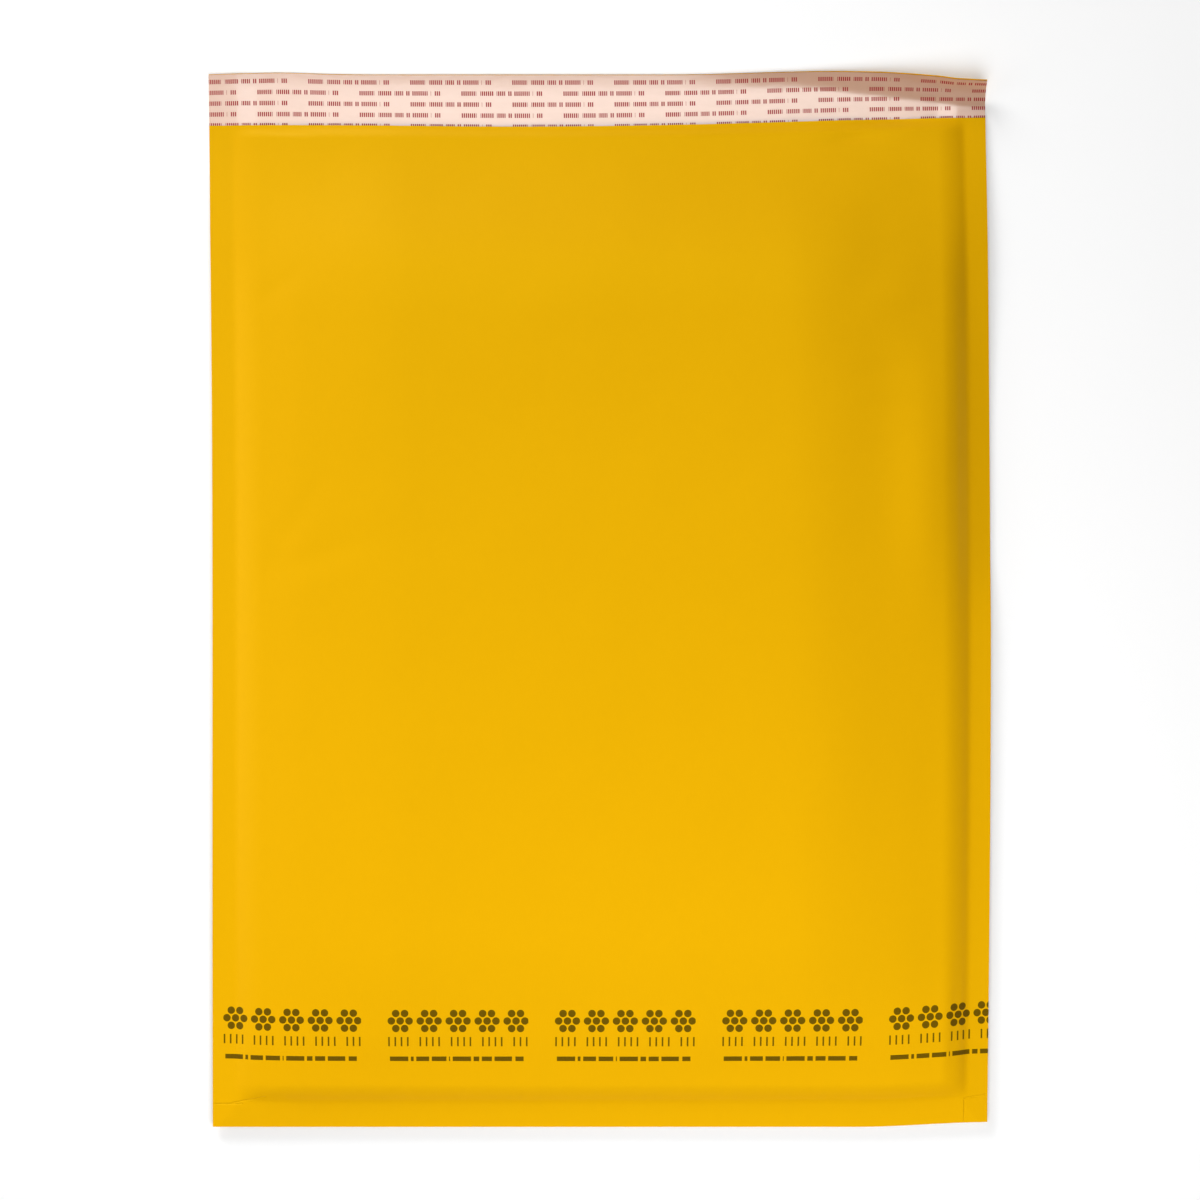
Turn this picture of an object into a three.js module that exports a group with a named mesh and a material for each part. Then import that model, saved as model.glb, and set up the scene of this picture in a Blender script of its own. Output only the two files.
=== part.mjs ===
// Padded envelope, empty, lying on its back with its mouth towards +Y.
// Two webs of golden kraft paper, each lined with bubble film, are sealed together along both
// sides and the bottom. The back web runs on past the mouth as a lip. The lip carries a band of
// adhesive under a release liner, and its right end curls up.
// Lengths are in millimetres: +X runs to the right, +Y towards the lip and +Z up.

import * as THREE from 'three';
import { mergeVertices, toCreasedNormals } from 'three/addons/utils/BufferGeometryUtils.js';

const { clamp, lerp, smoothstep } = THREE.MathUtils;

// Webs: the front ends at the mouth and the back runs on by the lip.
const WIDTH = 362;
const FRONT_LENGTH = 469.2;
const LIP = 22.3;

// Sealed margins, where the webs are pressed flat together.
const SIDE_SEAL = 13;
const BOTTOM_SEAL = 11;

// Plies.
const PAPER = 0.25;
const FILM = 0.3;
const BUBBLE = 4.8;
const ADHESIVE = 0.15;
const LINER = 0.15;
const PLY_GAP = 0.1;

// Bubbles of the linings, in staggered rows. The rows nearest the mouth, which can be seen, are
// modelled one by one, and the rest of each lining is a plain pad as deep as they are.
const BUBBLE_WIDTH = 9.8;
const BUBBLE_PITCH = 11.4;
const BUBBLE_ROWS = 3;

// Puffed body: the padding swells over the shoulder, and the pocket opens over the crown.
const SHOULDER = 10;
const POCKET = 6;
const CROWN = 80;

// Height of the sealed margins' underside, and how far each one droops at its outer edge.
const SEAL_RISE = 3.2;
const LEFT_DROOP = 1.2;
const RIGHT_DROOP = 0.4;
const BOTTOM_DROOP = 1;
const LIP_RISE = 0.6;

// Cut edges, which sway a little: leans, bows and a wave along the side edges.
const LEFT_LEAN = 1.15;
const LEFT_BOW = 1;
const LEFT_WAVE = 0.3;
const RIGHT_LEAN = 0.45;
const RIGHT_BOW = 2.2;
const BOTTOM_LIFT = 2.2;
const BOTTOM_LIFT_RUN = 60;

// Mouth of the front web: the puffed middle draws it back, and its right end stands further up.
const MOUTH_DRAW = 4.6;
const MOUTH_LEAN = 1.2;

// Linings stop short of the mouth. The liner's lower edge is tucked in under the front web.
const LINING_INSET = 4;
const LINER_TUCK = 3;
const LINER_MARGIN = 0.8;
const ADHESIVE_START = 3;
const ADHESIVE_WIDTH = 16;

// Curl of the lip: slight along its free edge, and a roll that tightens towards its right end,
// where it also starts nearer the mouth.
const LIP_RADIUS = 60;
const LIP_FLAT = 14;
const CURL_RADIUS = 12.5;
const CURL_RUN = 110;
const CURL_START = 3.5;
const CURL_SLANT = 0.12;

const BACK_LENGTH = FRONT_LENGTH + LIP;
const HALF_LENGTH = BACK_LENGTH / 2;
const SHOULDER_END = SIDE_SEAL + SHOULDER;
const LINING_END = FRONT_LENGTH - LINING_INSET;
const ADHESIVE_END = FRONT_LENGTH + ADHESIVE_START + ADHESIVE_WIDTH;
const ROW_PITCH = BUBBLE_PITCH * Math.sqrt(3) / 2;
const BUBBLES_START = LINING_END - BUBBLE_ROWS * ROW_PITCH;

// Eased step from 0 to 1 over a run that starts at 0.
function ease(distance, run) {
  return smoothstep(distance, 0, run);
}

// Side edges of both webs at a height y on the table.
function leftEdge(y) {
  const along = y / HALF_LENGTH;
  const bow = LEFT_BOW * Math.cos(along * Math.PI / 2);
  return -WIDTH / 2 - LEFT_LEAN * along + bow + LEFT_WAVE * Math.sin(along * Math.PI);
}

function rightEdge(y) {
  const along = y / HALF_LENGTH;
  return WIDTH / 2 - RIGHT_LEAN * along + RIGHT_BOW * Math.cos(along * Math.PI / 2);
}

// Bottom edge, mouth line and lip edge at a distance across from the left edge.
function bottomEdge(across) {
  return -HALF_LENGTH + BOTTOM_LIFT * ease(across - (WIDTH - BOTTOM_LIFT_RUN), BOTTOM_LIFT_RUN);
}

function mouthLine(across) {
  const side = 2 * across / WIDTH - 1;
  const draw = MOUTH_DRAW * Math.cos(side * Math.PI / 2) ** 2;
  return HALF_LENGTH - LIP + MOUTH_LEAN * side - draw;
}

// How far inside the nearest seal lines a point of the web lies, for padding and pocket.
function insideSeals(across, along, run) {
  const sides = ease(across - SIDE_SEAL, run) * ease(WIDTH - SIDE_SEAL - across, run);
  return sides * ease(along - BOTTOM_SEAL, run);
}

function padding(across, along) {
  return insideSeals(across, along, SHOULDER);
}

function opening(across, along) {
  return insideSeals(across, along, CROWN);
}

// Underside of the back web: flat on the table, and raised along the sealed margins.
function restHeight(across, along) {
  const leftMargin = clamp(1 - across / SIDE_SEAL, 0, 1);
  const rightMargin = clamp(1 - (WIDTH - across) / SIDE_SEAL, 0, 1);
  const bottomMargin = clamp(1 - along / BOTTOM_SEAL, 0, 1);
  const sideDroop = LEFT_DROOP * leftMargin + RIGHT_DROOP * rightMargin;
  const droop = Math.max(sideDroop, BOTTOM_DROOP * bottomMargin);
  const rise = lerp(SEAL_RISE, LIP_RISE + droop, ease(along - FRONT_LENGTH, LIP));
  return (1 - padding(across, along)) * rise - droop;
}

// Middles of the bubbles in a row: every second row has one fewer, so that the rows interlock.
function bubbleMiddles(row) {
  const count = Math.floor((WIDTH - 2 * SHOULDER_END) / BUBBLE_PITCH) - row % 2;
  return Array.from({ length: count }, (_, i) => WIDTH / 2 + (i - (count - 1) / 2) * BUBBLE_PITCH);
}

// Share of a lining's full depth at a point of its inner face, which domes up at each bubble.
function bubbleSwell(across, along) {
  if (along < BUBBLES_START || across <= SHOULDER_END || across >= WIDTH - SHOULDER_END) return 1;
  const row = Math.floor((along - BUBBLES_START) / ROW_PITCH);
  const rowMiddle = BUBBLES_START + (row + 0.5) * ROW_PITCH;
  const spans = bubbleMiddles(row).map((middle) => Math.hypot(across - middle, along - rowMiddle));
  const reach = Math.min(1, Math.min(...spans) / (BUBBLE_WIDTH / 2));
  return Math.sqrt(1 - reach ** 4);
}

// Height of a surface between the lines across which it is bent, where it is flat.
function flatBetweenBends(surface) {
  return (across, along) => {
    const bends = acrossSteps();
    const next = bends.findIndex((bend) => bend >= across);
    if (next <= 0) return surface(across, along);
    const share = (across - bends[next - 1]) / (bends[next] - bends[next - 1]);
    return lerp(surface(bends[next - 1], along), surface(bends[next], along), share);
  };
}

// Surfaces of the plies, from the table up.
const backUnder = restHeight;
const backTop = (across, along) => backUnder(across, along) + PAPER;
const backLiningUnder = (across, along) => backTop(across, along) + PLY_GAP;
const liningDepth = (across, along) => FILM + (BUBBLE - FILM) * padding(across, along);
const backLiningTop = (across, along) => backLiningUnder(across, along) + liningDepth(across, along);
const pocketDepth = (across, along) => PLY_GAP + POCKET * opening(across, along);
const frontLiningUnder = (across, along) => backLiningTop(across, along) + pocketDepth(across, along);
const frontLiningTop = (across, along) => frontLiningUnder(across, along) + liningDepth(across, along);
const bubbleDepth = (across, along) => (BUBBLE - FILM) * padding(across, along) * bubbleSwell(across, along);
const backBubbles = (across, along) => (
  flatBetweenBends(backLiningUnder)(across, along) + FILM + bubbleDepth(across, along));
const frontBubbles = (across, along) => (
  flatBetweenBends(frontLiningTop)(across, along) - FILM - bubbleDepth(across, along));
const frontUnder = (across, along) => frontLiningTop(across, along) + PLY_GAP;
const frontTop = (across, along) => frontUnder(across, along) + PAPER;
const adhesiveUnder = (across, along) => backTop(across, along) + PLY_GAP;
const adhesiveTop = (across, along) => adhesiveUnder(across, along) + ADHESIVE;
const linerUnder = (across, along) => adhesiveTop(across, along) + PLY_GAP;
const linerTop = (across, along) => linerUnder(across, along) + LINER;

// Place in space of a point of the webs, given how far across and along them it lies.
function place(across, along, height) {
  const mouth = mouthLine(across);
  const flatY = along <= FRONT_LENGTH
    ? lerp(bottomEdge(across), mouth, along / FRONT_LENGTH)
    : lerp(mouth, HALF_LENGTH, (along - FRONT_LENGTH) / LIP);
  const x = lerp(leftEdge(flatY), rightEdge(flatY), across / WIDTH);
  const start = Math.min(LIP_FLAT, CURL_START + CURL_SLANT * (WIDTH - across));
  const past = flatY - mouth - start;
  if (past <= 0) return new THREE.Vector3(x, flatY, height);
  const roll = ease(across - (WIDTH - CURL_RUN), CURL_RUN);
  const radius = 1 / lerp(1 / LIP_RADIUS, 1 / CURL_RADIUS, roll);
  const angle = past / radius;
  const y = mouth + start + (radius - height) * Math.sin(angle);
  return new THREE.Vector3(x, y, radius - (radius - height) * Math.cos(angle));
}

// Distances across and along at which every ply is bent, so that plies nest without touching.
const SHOULDER_STEPS = [0, 0.3, 0.5, 0.7, 1];
const HALF_BODY_STEPS = [0.1, 0.25, 0.45, 0.7];
const BODY_STEPS = [0.05, 0.1, 0.2, 0.4, 0.7];
const LIP_STEPS = [0.14, 0.28, 0.42, 0.56, 0.7, 0.85];
const PAD_STEP = 2;

function stepsBetween(start, end, shares) {
  return shares.map((share) => lerp(start, end, share));
}

function mirroredAcross(distances) {
  return distances.map((distance) => WIDTH - distance).reverse();
}

const sideSteps = [0, ...stepsBetween(SIDE_SEAL, SHOULDER_END, SHOULDER_STEPS)];

function acrossSteps() {
  const half = [...sideSteps, ...stepsBetween(SHOULDER_END, WIDTH / 2, HALF_BODY_STEPS)];
  return [...half, WIDTH / 2, ...mirroredAcross(half)];
}

function alongSteps() {
  const shoulderEnd = BOTTOM_SEAL + SHOULDER;
  const adhesiveStart = FRONT_LENGTH + ADHESIVE_START;
  return [
    0,
    ...stepsBetween(BOTTOM_SEAL, shoulderEnd, SHOULDER_STEPS),
    ...stepsBetween(shoulderEnd, BUBBLES_START - PAD_STEP, BODY_STEPS),
    BUBBLES_START - PAD_STEP,
    LINING_END,
    FRONT_LENGTH - LINER_TUCK,
    FRONT_LENGTH,
    adhesiveStart,
    ...stepsBetween(adhesiveStart, ADHESIVE_END, LIP_STEPS),
    ADHESIVE_END,
    BACK_LENGTH - LINER_MARGIN,
    BACK_LENGTH,
  ];
}

// Lines across a row of bubbles, from one valley towards the next: how far along the row each
// lies, and where it is bent, as a share of the pitch from each bubble's middle.
const BUBBLE_LINES = [
  { rowShare: 0, bends: [-0.5, 0] },
  { rowShare: 0.2, bends: [-0.5, -0.22, 0.22] },
  { rowShare: 0.5, bends: [-0.5, -0.36, 0, 0.36] },
  { rowShare: 0.8, bends: [-0.5, -0.22, 0.22] },
];

// Triangles of the strip between two lines of points that run the same way.
function stitch(triangles, near, far, flip) {
  let i = 0;
  let j = 0;
  while (i < near.length - 1 || j < far.length - 1) {
    const stepNear = j === far.length - 1
      || (i < near.length - 1 && near[i + 1].share <= far[j + 1].share);
    const third = stepNear ? near[i + 1] : far[j + 1];
    const corners = [near[i].point, third.point, far[j].point];
    triangles.push(...(flip ? corners.reverse() : corners));
    if (stepNear) i += 1;
    else j += 1;
  }
}

// A line of points across a surface, running from left to right.
function surfaceLine(surface, along, distances) {
  return distances.map((across) => ({
    share: across,
    along,
    point: place(across, along, surface(across, along)),
  }));
}

function surfaceLines(surface, start, end) {
  const distances = alongSteps().filter((along) => along >= start && along <= end);
  return distances.map((along) => surfaceLine(surface, along, acrossSteps()));
}

function bubbleLine(surface, row, rowShare, bends) {
  const middles = bubbleMiddles(row);
  const bubbles = middles.flatMap((middle) => bends.map((bend) => middle + bend * BUBBLE_PITCH));
  const last = middles.at(-1) + BUBBLE_PITCH / 2;
  const distances = [...sideSteps, ...bubbles, last, ...mirroredAcross(sideSteps)];
  return surfaceLine(surface, BUBBLES_START + (row + rowShare) * ROW_PITCH, distances);
}

// Lines over the inner face of a lining: the plain pad, then the rows of bubbles.
function liningLines(surface) {
  const lines = surfaceLines(surface, 0, BUBBLES_START);
  for (let row = 0; row < BUBBLE_ROWS; row += 1) {
    for (const { rowShare, bends } of BUBBLE_LINES) lines.push(bubbleLine(surface, row, rowShare, bends));
  }
  lines.push(bubbleLine(surface, BUBBLE_ROWS, 0, BUBBLE_LINES[0].bends));
  return lines;
}

function edgeLine(lines, column) {
  return lines.map((line) => ({ share: line.at(column).along, point: line.at(column).point }));
}

// Closed body of one ply, between its lower and upper surfaces.
function plyGeometry(lower, upper) {
  const triangles = [];
  for (let i = 0; i < upper.length - 1; i += 1) stitch(triangles, upper[i], upper[i + 1], false);
  for (let i = 0; i < lower.length - 1; i += 1) stitch(triangles, lower[i], lower[i + 1], true);
  stitch(triangles, lower[0], upper[0], false);
  stitch(triangles, lower.at(-1), upper.at(-1), true);
  stitch(triangles, edgeLine(lower, 0), edgeLine(upper, 0), true);
  stitch(triangles, edgeLine(lower, -1), edgeLine(upper, -1), false);
  return toCreasedNormals(mergeVertices(new THREE.BufferGeometry().setFromPoints(triangles)), Math.PI / 5);
}

function plainGeometry(under, top, start, end) {
  return plyGeometry(surfaceLines(under, start, end), surfaceLines(top, start, end));
}

function ply(name, geometry, material) {
  const mesh = new THREE.Mesh(geometry, material);
  mesh.name = name;
  return mesh;
}

// Finishes.
const kraft = new THREE.MeshStandardMaterial({ color: 0xf0b700, roughness: 0.8, metalness: 0 });
const bubbleFilm = new THREE.MeshStandardMaterial({ color: 0xe4e8e8, roughness: 0.3, metalness: 0 });
const hotMelt = new THREE.MeshStandardMaterial({ color: 0xe9dcae, roughness: 0.35, metalness: 0 });
const linerPaper = new THREE.MeshStandardMaterial({ color: 0xfbd6c1, roughness: 0.5, metalness: 0 });

const backSheet = plainGeometry(backUnder, backTop, 0, BACK_LENGTH);
const frontSheet = plainGeometry(frontUnder, frontTop, 0, FRONT_LENGTH);
const backLining = plyGeometry(surfaceLines(backLiningUnder, 0, LINING_END), liningLines(backBubbles));
const frontLining = plyGeometry(liningLines(frontBubbles), surfaceLines(frontLiningTop, 0, LINING_END));
const adhesive = plainGeometry(adhesiveUnder, adhesiveTop, FRONT_LENGTH + ADHESIVE_START, ADHESIVE_END);
const liner = plainGeometry(linerUnder, linerTop, FRONT_LENGTH - LINER_TUCK, BACK_LENGTH - LINER_MARGIN);

const envelope = new THREE.Group();
envelope.add(ply('back_sheet', backSheet, kraft));
envelope.add(ply('back_bubble_lining', backLining, bubbleFilm));
envelope.add(ply('front_bubble_lining', frontLining, bubbleFilm));
envelope.add(ply('front_sheet', frontSheet, kraft));
envelope.add(ply('adhesive_strip', adhesive, hotMelt));
envelope.add(ply('release_liner', liner, linerPaper));

// The origin is on the table under the middle of the whole envelope.
const bounds = new THREE.Box3().setFromObject(envelope);
const middle = bounds.getCenter(new THREE.Vector3());
envelope.position.set(-middle.x, -middle.y, -bounds.min.z);

const group = new THREE.Group();
group.add(envelope);
export default group;
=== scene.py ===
"""Padded envelope of golden kraft paper, lying on its back on a pale floor, seen from straight above.

Each ply is made flat, as the web that it is cut from, and is then laid in the form that the sealed
envelope has. Flat distances are measured across from the left edge and along from the bottom edge.
All lengths are in metres.
"""

import logging
import math
from collections.abc import Callable, Sequence
from dataclasses import dataclass, field
from enum import Enum

import bmesh
import bpy
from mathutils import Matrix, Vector, noise

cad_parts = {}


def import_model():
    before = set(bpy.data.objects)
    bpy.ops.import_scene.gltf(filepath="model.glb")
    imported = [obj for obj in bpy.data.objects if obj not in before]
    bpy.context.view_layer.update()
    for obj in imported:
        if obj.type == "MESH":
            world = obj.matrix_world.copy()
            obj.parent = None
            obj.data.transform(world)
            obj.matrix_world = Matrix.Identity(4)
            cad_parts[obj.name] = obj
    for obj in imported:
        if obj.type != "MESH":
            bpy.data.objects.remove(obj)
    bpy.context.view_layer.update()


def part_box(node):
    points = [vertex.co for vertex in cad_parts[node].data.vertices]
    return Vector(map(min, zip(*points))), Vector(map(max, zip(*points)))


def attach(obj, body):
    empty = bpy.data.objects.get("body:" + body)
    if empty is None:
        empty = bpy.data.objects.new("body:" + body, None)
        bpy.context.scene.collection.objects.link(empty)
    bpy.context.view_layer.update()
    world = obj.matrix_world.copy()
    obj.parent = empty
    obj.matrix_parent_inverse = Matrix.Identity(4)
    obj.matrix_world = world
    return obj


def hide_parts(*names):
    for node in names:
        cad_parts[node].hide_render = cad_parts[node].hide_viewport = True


MM = 0.001
BODY = "root"

log = logging.getLogger("envelope")

Height = Callable[[float, float], float]
Colour = tuple[float, float, float]
Tint = tuple[float, float, float, float]


def clamp(value: float) -> float:
    """Hold a value between 0 and 1."""
    return min(1.0, max(0.0, value))


def lerp(start: float, end: float, share: float) -> float:
    """Go a share of the way from start to end."""
    return start + (end - start) * share


def ease(distance: float, run: float) -> float:
    """Step smoothly from 0 to 1 over a run that starts at 0."""
    share = clamp(distance / run)
    return share * share * (3 - 2 * share)


@dataclass(frozen=True)
class Dent:
    """A soft hollow, or a ridge where its depth is negative, in the puffed front.

    Attributes:
        across, along: Its middle.
        length, width: Its reach along and across itself.
        depth: How deep it is in the middle.
        turn: Its direction in degrees, counted anticlockwise from straight across.
        end: How many times its longer reach it is counted to.
    """

    across: float
    along: float
    length: float
    width: float
    depth: float
    turn: float = 0.0
    end: float = 3.0

    def at(self, across: float, along: float) -> float:
        """Give its depth at a point of the web.

        Args:
            across: Flat distance from the left edge.
            along: Flat distance from the bottom edge.

        Returns:
            The depth, which fades out smoothly all round.
        """
        dx = across - self.across
        dy = along - self.along
        reach = self.end * max(self.length, self.width)
        if abs(dx) > reach or abs(dy) > reach:
            return 0.0
        angle = math.radians(self.turn)
        u = (dx * math.cos(angle) + dy * math.sin(angle)) / self.length
        v = (dy * math.cos(angle) - dx * math.sin(angle)) / self.width
        return self.depth * math.exp(-u * u - v * v)


@dataclass(frozen=True)
class WebForm:
    """The form that the two sealed webs lie in, and the stack of plies on it.

    Attributes:
        width, front_length, lip: Flat sizes of the webs. The back web has the lip besides.
        side_seal, bottom_seal: Widths of the seals.
        paper, film, adhesive, liner: Thickness of each ply.
        bubble: Thickness of a lining, film and bubbles together.
        ply_gap: Clearance between plies that lie on each other.
        shoulder: Length over which the padding grows beside a seal.
        pocket, crown: How far the linings part, and the length over which they do.
        seal_rise, mouth_rise: Height of the seals over the table, and what is left of it at the mouth.
        settle_run: Length over which they sink to that.
        left_droop, right_droop, bottom_droop: How far each cut edge hangs below its seal.
        left_lean, left_bow, left_wave: Sway of the left edge on the table.
        right_lean, right_bow: Sway of the right edge.
        bottom_lift, bottom_lift_run: Rise of the bottom edge at its right end, and its length.
        mouth_draw, mouth_lean: How far the mouth is drawn back in its middle, and its slant.
        lip_radius, lip_flat: Slight curl all along the lip, and the flat strip before it.
        curl_radius, curl_run: Tight curl at the lip's right end, and the length over which it grows.
        curl_start, curl_slant: Where that curl starts, and how much later further to the left.
    """

    width: float = 362 * MM
    front_length: float = 469.2 * MM
    lip: float = 22.3 * MM
    side_seal: float = 13 * MM
    bottom_seal: float = 11 * MM
    paper: float = 0.25 * MM
    film: float = 0.3 * MM
    bubble: float = 4.8 * MM
    adhesive: float = 0.15 * MM
    liner: float = 0.15 * MM
    ply_gap: float = 0.1 * MM
    shoulder: float = 10 * MM
    pocket: float = 6 * MM
    crown: float = 80 * MM
    seal_rise: float = 3.2 * MM
    left_droop: float = 1.2 * MM
    right_droop: float = 1.4 * MM
    bottom_droop: float = 1 * MM
    mouth_rise: float = 0.6 * MM
    settle_run: float = 60 * MM
    left_lean: float = 1.15 * MM
    left_bow: float = 1 * MM
    left_wave: float = 0.3 * MM
    right_lean: float = 0.45 * MM
    right_bow: float = 2.2 * MM
    bottom_lift: float = 2.2 * MM
    bottom_lift_run: float = 60 * MM
    mouth_draw: float = 2.3 * MM
    mouth_lean: float = 1.9 * MM
    lip_radius: float = 150 * MM
    lip_flat: float = 14 * MM
    curl_radius: float = 12.5 * MM
    curl_run: float = 150 * MM
    curl_start: float = 3.5 * MM
    curl_slant: float = 0.12

    @property
    def back_length(self) -> float:
        """Length of the back web, lip included."""
        return self.front_length + self.lip

    @property
    def half_length(self) -> float:
        """Half the length of the back web."""
        return self.back_length / 2

    def left_edge(self, y: float) -> float:
        """Give the left edge's place at a height y on the table.

        Args:
            y: Distance up the table from the middle of the envelope.

        Returns:
            The place, which is negative.
        """
        along = y / self.half_length
        bow = self.left_bow * math.cos(along * math.pi / 2)
        wave = self.left_wave * math.sin(along * math.pi)
        return -self.width / 2 - self.left_lean * along + bow + wave

    def right_edge(self, y: float) -> float:
        """Give the right edge's place at a height y on the table."""
        along = y / self.half_length
        return self.width / 2 - self.right_lean * along + self.right_bow * math.cos(along * math.pi / 2)

    def bottom_edge(self, across: float) -> float:
        """Give the bottom edge's height on the table."""
        run = self.bottom_lift_run
        return -self.half_length + self.bottom_lift * ease(across - (self.width - run), run)

    def mouth_line(self, across: float) -> float:
        """Give the mouth's height on the table.

        Args:
            across: Flat distance from the left edge.

        Returns:
            Distance up the table from the middle of the envelope.
        """
        side = 2 * across / self.width - 1
        draw = self.mouth_draw * math.cos(side * math.pi / 2) ** 2
        return self.half_length - self.lip + self.mouth_lean * side - draw

    def inside_seals(self, across: float, along: float, run: float) -> float:
        """Tell how far inside the nearest seal lines a point lies, from 0 to 1 over a run."""
        sides = ease(across - self.side_seal, run) * ease(self.width - self.side_seal - across, run)
        return sides * ease(along - self.bottom_seal, run)

    def padding(self, across: float, along: float) -> float:
        """Give the share of the lining's full depth at a point."""
        return self.inside_seals(across, along, self.shoulder)

    def droop(self, across: float, along: float) -> float:
        """Tell how far the margins hang down towards their cut edges.

        Args:
            across: Flat distance from the left edge.
            along: Flat distance from the bottom edge.

        Returns:
            The drop, which is 0 inside the seals.
        """
        left = clamp(1 - across / self.side_seal)
        right = clamp(1 - (self.width - across) / self.side_seal)
        bottom = clamp(1 - along / self.bottom_seal)
        return max(self.left_droop * left + self.right_droop * right, self.bottom_droop * bottom)

    def place(self, across: float, along: float, height: float) -> Vector:
        """Give a point's place, with the lip's curl.

        Args:
            across: Flat distance from the left edge.
            along: Flat distance from the bottom edge.
            height: Height above the table where the web lies flat.

        Returns:
            The place, with the middle of the flat web at the origin.
        """
        mouth = self.mouth_line(across)
        if along <= self.front_length:
            flat_y = lerp(self.bottom_edge(across), mouth, along / self.front_length)
        else:
            flat_y = lerp(mouth, self.half_length, (along - self.front_length) / self.lip)
        x = lerp(self.left_edge(flat_y), self.right_edge(flat_y), across / self.width)
        start = min(self.lip_flat, self.curl_start + self.curl_slant * (self.width - across))
        past = flat_y - mouth - start
        if past <= 0:
            return Vector((x, flat_y, height))
        roll = ease(across - (self.width - self.curl_run), self.curl_run)
        radius = 1 / lerp(1 / self.lip_radius, 1 / self.curl_radius, roll)
        angle = past / radius
        y = mouth + start + (radius - height) * math.sin(angle)
        return Vector((x, y, radius - (radius - height) * math.cos(angle)))


@dataclass(frozen=True)
class Relief:
    """Dents, ripples and unevenness of the front paper over its bubbles.

    Attributes:
        dents: Its hollows and ridges.
        swell, swell_span: Height and span of its broad waves.
        mottle, mottle_span: Height and span of its small ones.
        ripple, ripple_span: Height and span of the ripples near its top right corner.
        ripple_stretch: How much slower they change across than along.
        rippled_across, rippled_along, rippled_run: Where they begin, and the length over which they grow.
        layers: Which cut through the noise each of the three takes.
    """

    dents: tuple[Dent, ...] = (
        Dent(30 * MM, 391 * MM, 16 * MM, 4 * MM, 0.35 * MM, 35),
        Dent(40 * MM, 283 * MM, 20 * MM, 5 * MM, 0.4 * MM, 60),
        Dent(48 * MM, 266 * MM, 26 * MM, 6 * MM, 0.4 * MM, 20),
        Dent(298 * MM, 460 * MM, 12 * MM, 2.4 * MM, 0.4 * MM, 5),
        Dent(38 * MM, 465.3 * MM, 11 * MM, 1.1 * MM, 0.3 * MM, -4),
        Dent(333 * MM, 302 * MM, 62 * MM, 13 * MM, -2.0 * MM, 90),
        Dent(348.5 * MM, 300 * MM, 80 * MM, 1.1 * MM, 0.5 * MM, 90),
        Dent(346 * MM, 52 * MM, 26 * MM, 2 * MM, 0.5 * MM, 86),
        Dent(30 * MM, 14.5 * MM, 12 * MM, 1.4 * MM, 0.4 * MM, -5),
        Dent(190 * MM, 469.5 * MM, 75 * MM, 3 * MM, -0.28 * MM, 1),
        Dent(318 * MM, 470 * MM, 16 * MM, 4 * MM, 1.3 * MM, 3),
        Dent(180 * MM, 330 * MM, 110 * MM, 60 * MM, 0.8 * MM, 0),
    )
    swell: float = 0.5 * MM
    swell_span: float = 70 * MM
    mottle: float = 0.16 * MM
    mottle_span: float = 24 * MM
    ripple: float = 0.3 * MM
    ripple_span: float = 9 * MM
    ripple_stretch: float = 0.3
    rippled_across: float = 260 * MM
    rippled_along: float = 300 * MM
    rippled_run: float = 60 * MM
    layers: tuple[float, float, float] = (0.31, 0.52, 0.77)

    def at(self, across: float, along: float) -> float:
        """Give the height that the soft unevenness adds at a point of the front.

        Args:
            across: Flat distance from the left edge.
            along: Flat distance from the bottom edge.

        Returns:
            The height, up or down.
        """
        swell = noise.noise(Vector((across, along, self.layers[0])) / self.swell_span)
        mottle = noise.noise(Vector((across, along, self.layers[1])) / self.mottle_span)
        stretched = across * self.ripple_stretch
        ripple = noise.noise(Vector((stretched, along, self.layers[2])) / self.ripple_span)
        grown = ease(across - self.rippled_across, self.rippled_run)
        side = grown * ease(along - self.rippled_along, self.rippled_run)
        return self.swell * swell + self.mottle * mottle + self.ripple * side * ripple

    def hollow(self, across: float, along: float) -> float:
        """Give the depth of all the dents at a point of the front."""
        return sum(dent.at(across, along) for dent in self.dents)


@dataclass(frozen=True)
class Shoulder:
    """How the front rises beside one of its seals.

    Attributes:
        start: Where it starts to rise, counted inward from the seal's inner line.
        foot: Length over which it grows steep.
        run: Length over which it levels out again.
        share: The part of the rise that this takes. A long gentle slope takes the rest.
        slope: Length of that gentle slope.
    """

    start: float
    foot: float
    run: float
    share: float
    slope: float = 36 * MM

    def at(self, inward: float) -> float:
        """Give the share of the rise that is reached.

        Args:
            inward: Distance inward from the seal's inner line.

        Returns:
            The share, from 0 to 1.
        """
        distance = max(0.0, inward - self.start)
        steepening = min(distance, self.foot)
        rest = min(max(0.0, distance - self.foot), self.run)
        area = steepening * steepening / (2 * self.foot) + rest - rest * rest / (2 * self.run)
        steep = 2 * area / (self.foot + self.run)
        return self.share * steep + (1 - self.share) * ease(distance, self.slope)


def stations(*spans: tuple[float, float, float]) -> list[float]:
    """List distances at which a ply is bent.

    Args:
        spans: For each stretch, its start, its end and about the step in it.

    Returns:
        The distances in order, with both ends of each stretch.
    """
    distances = [spans[0][0]]
    for start, end, step in spans:
        count = max(1, round((end - start) / step))
        distances += [lerp(start, end, (i + 1) / count) for i in range(count)]
    return distances


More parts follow.
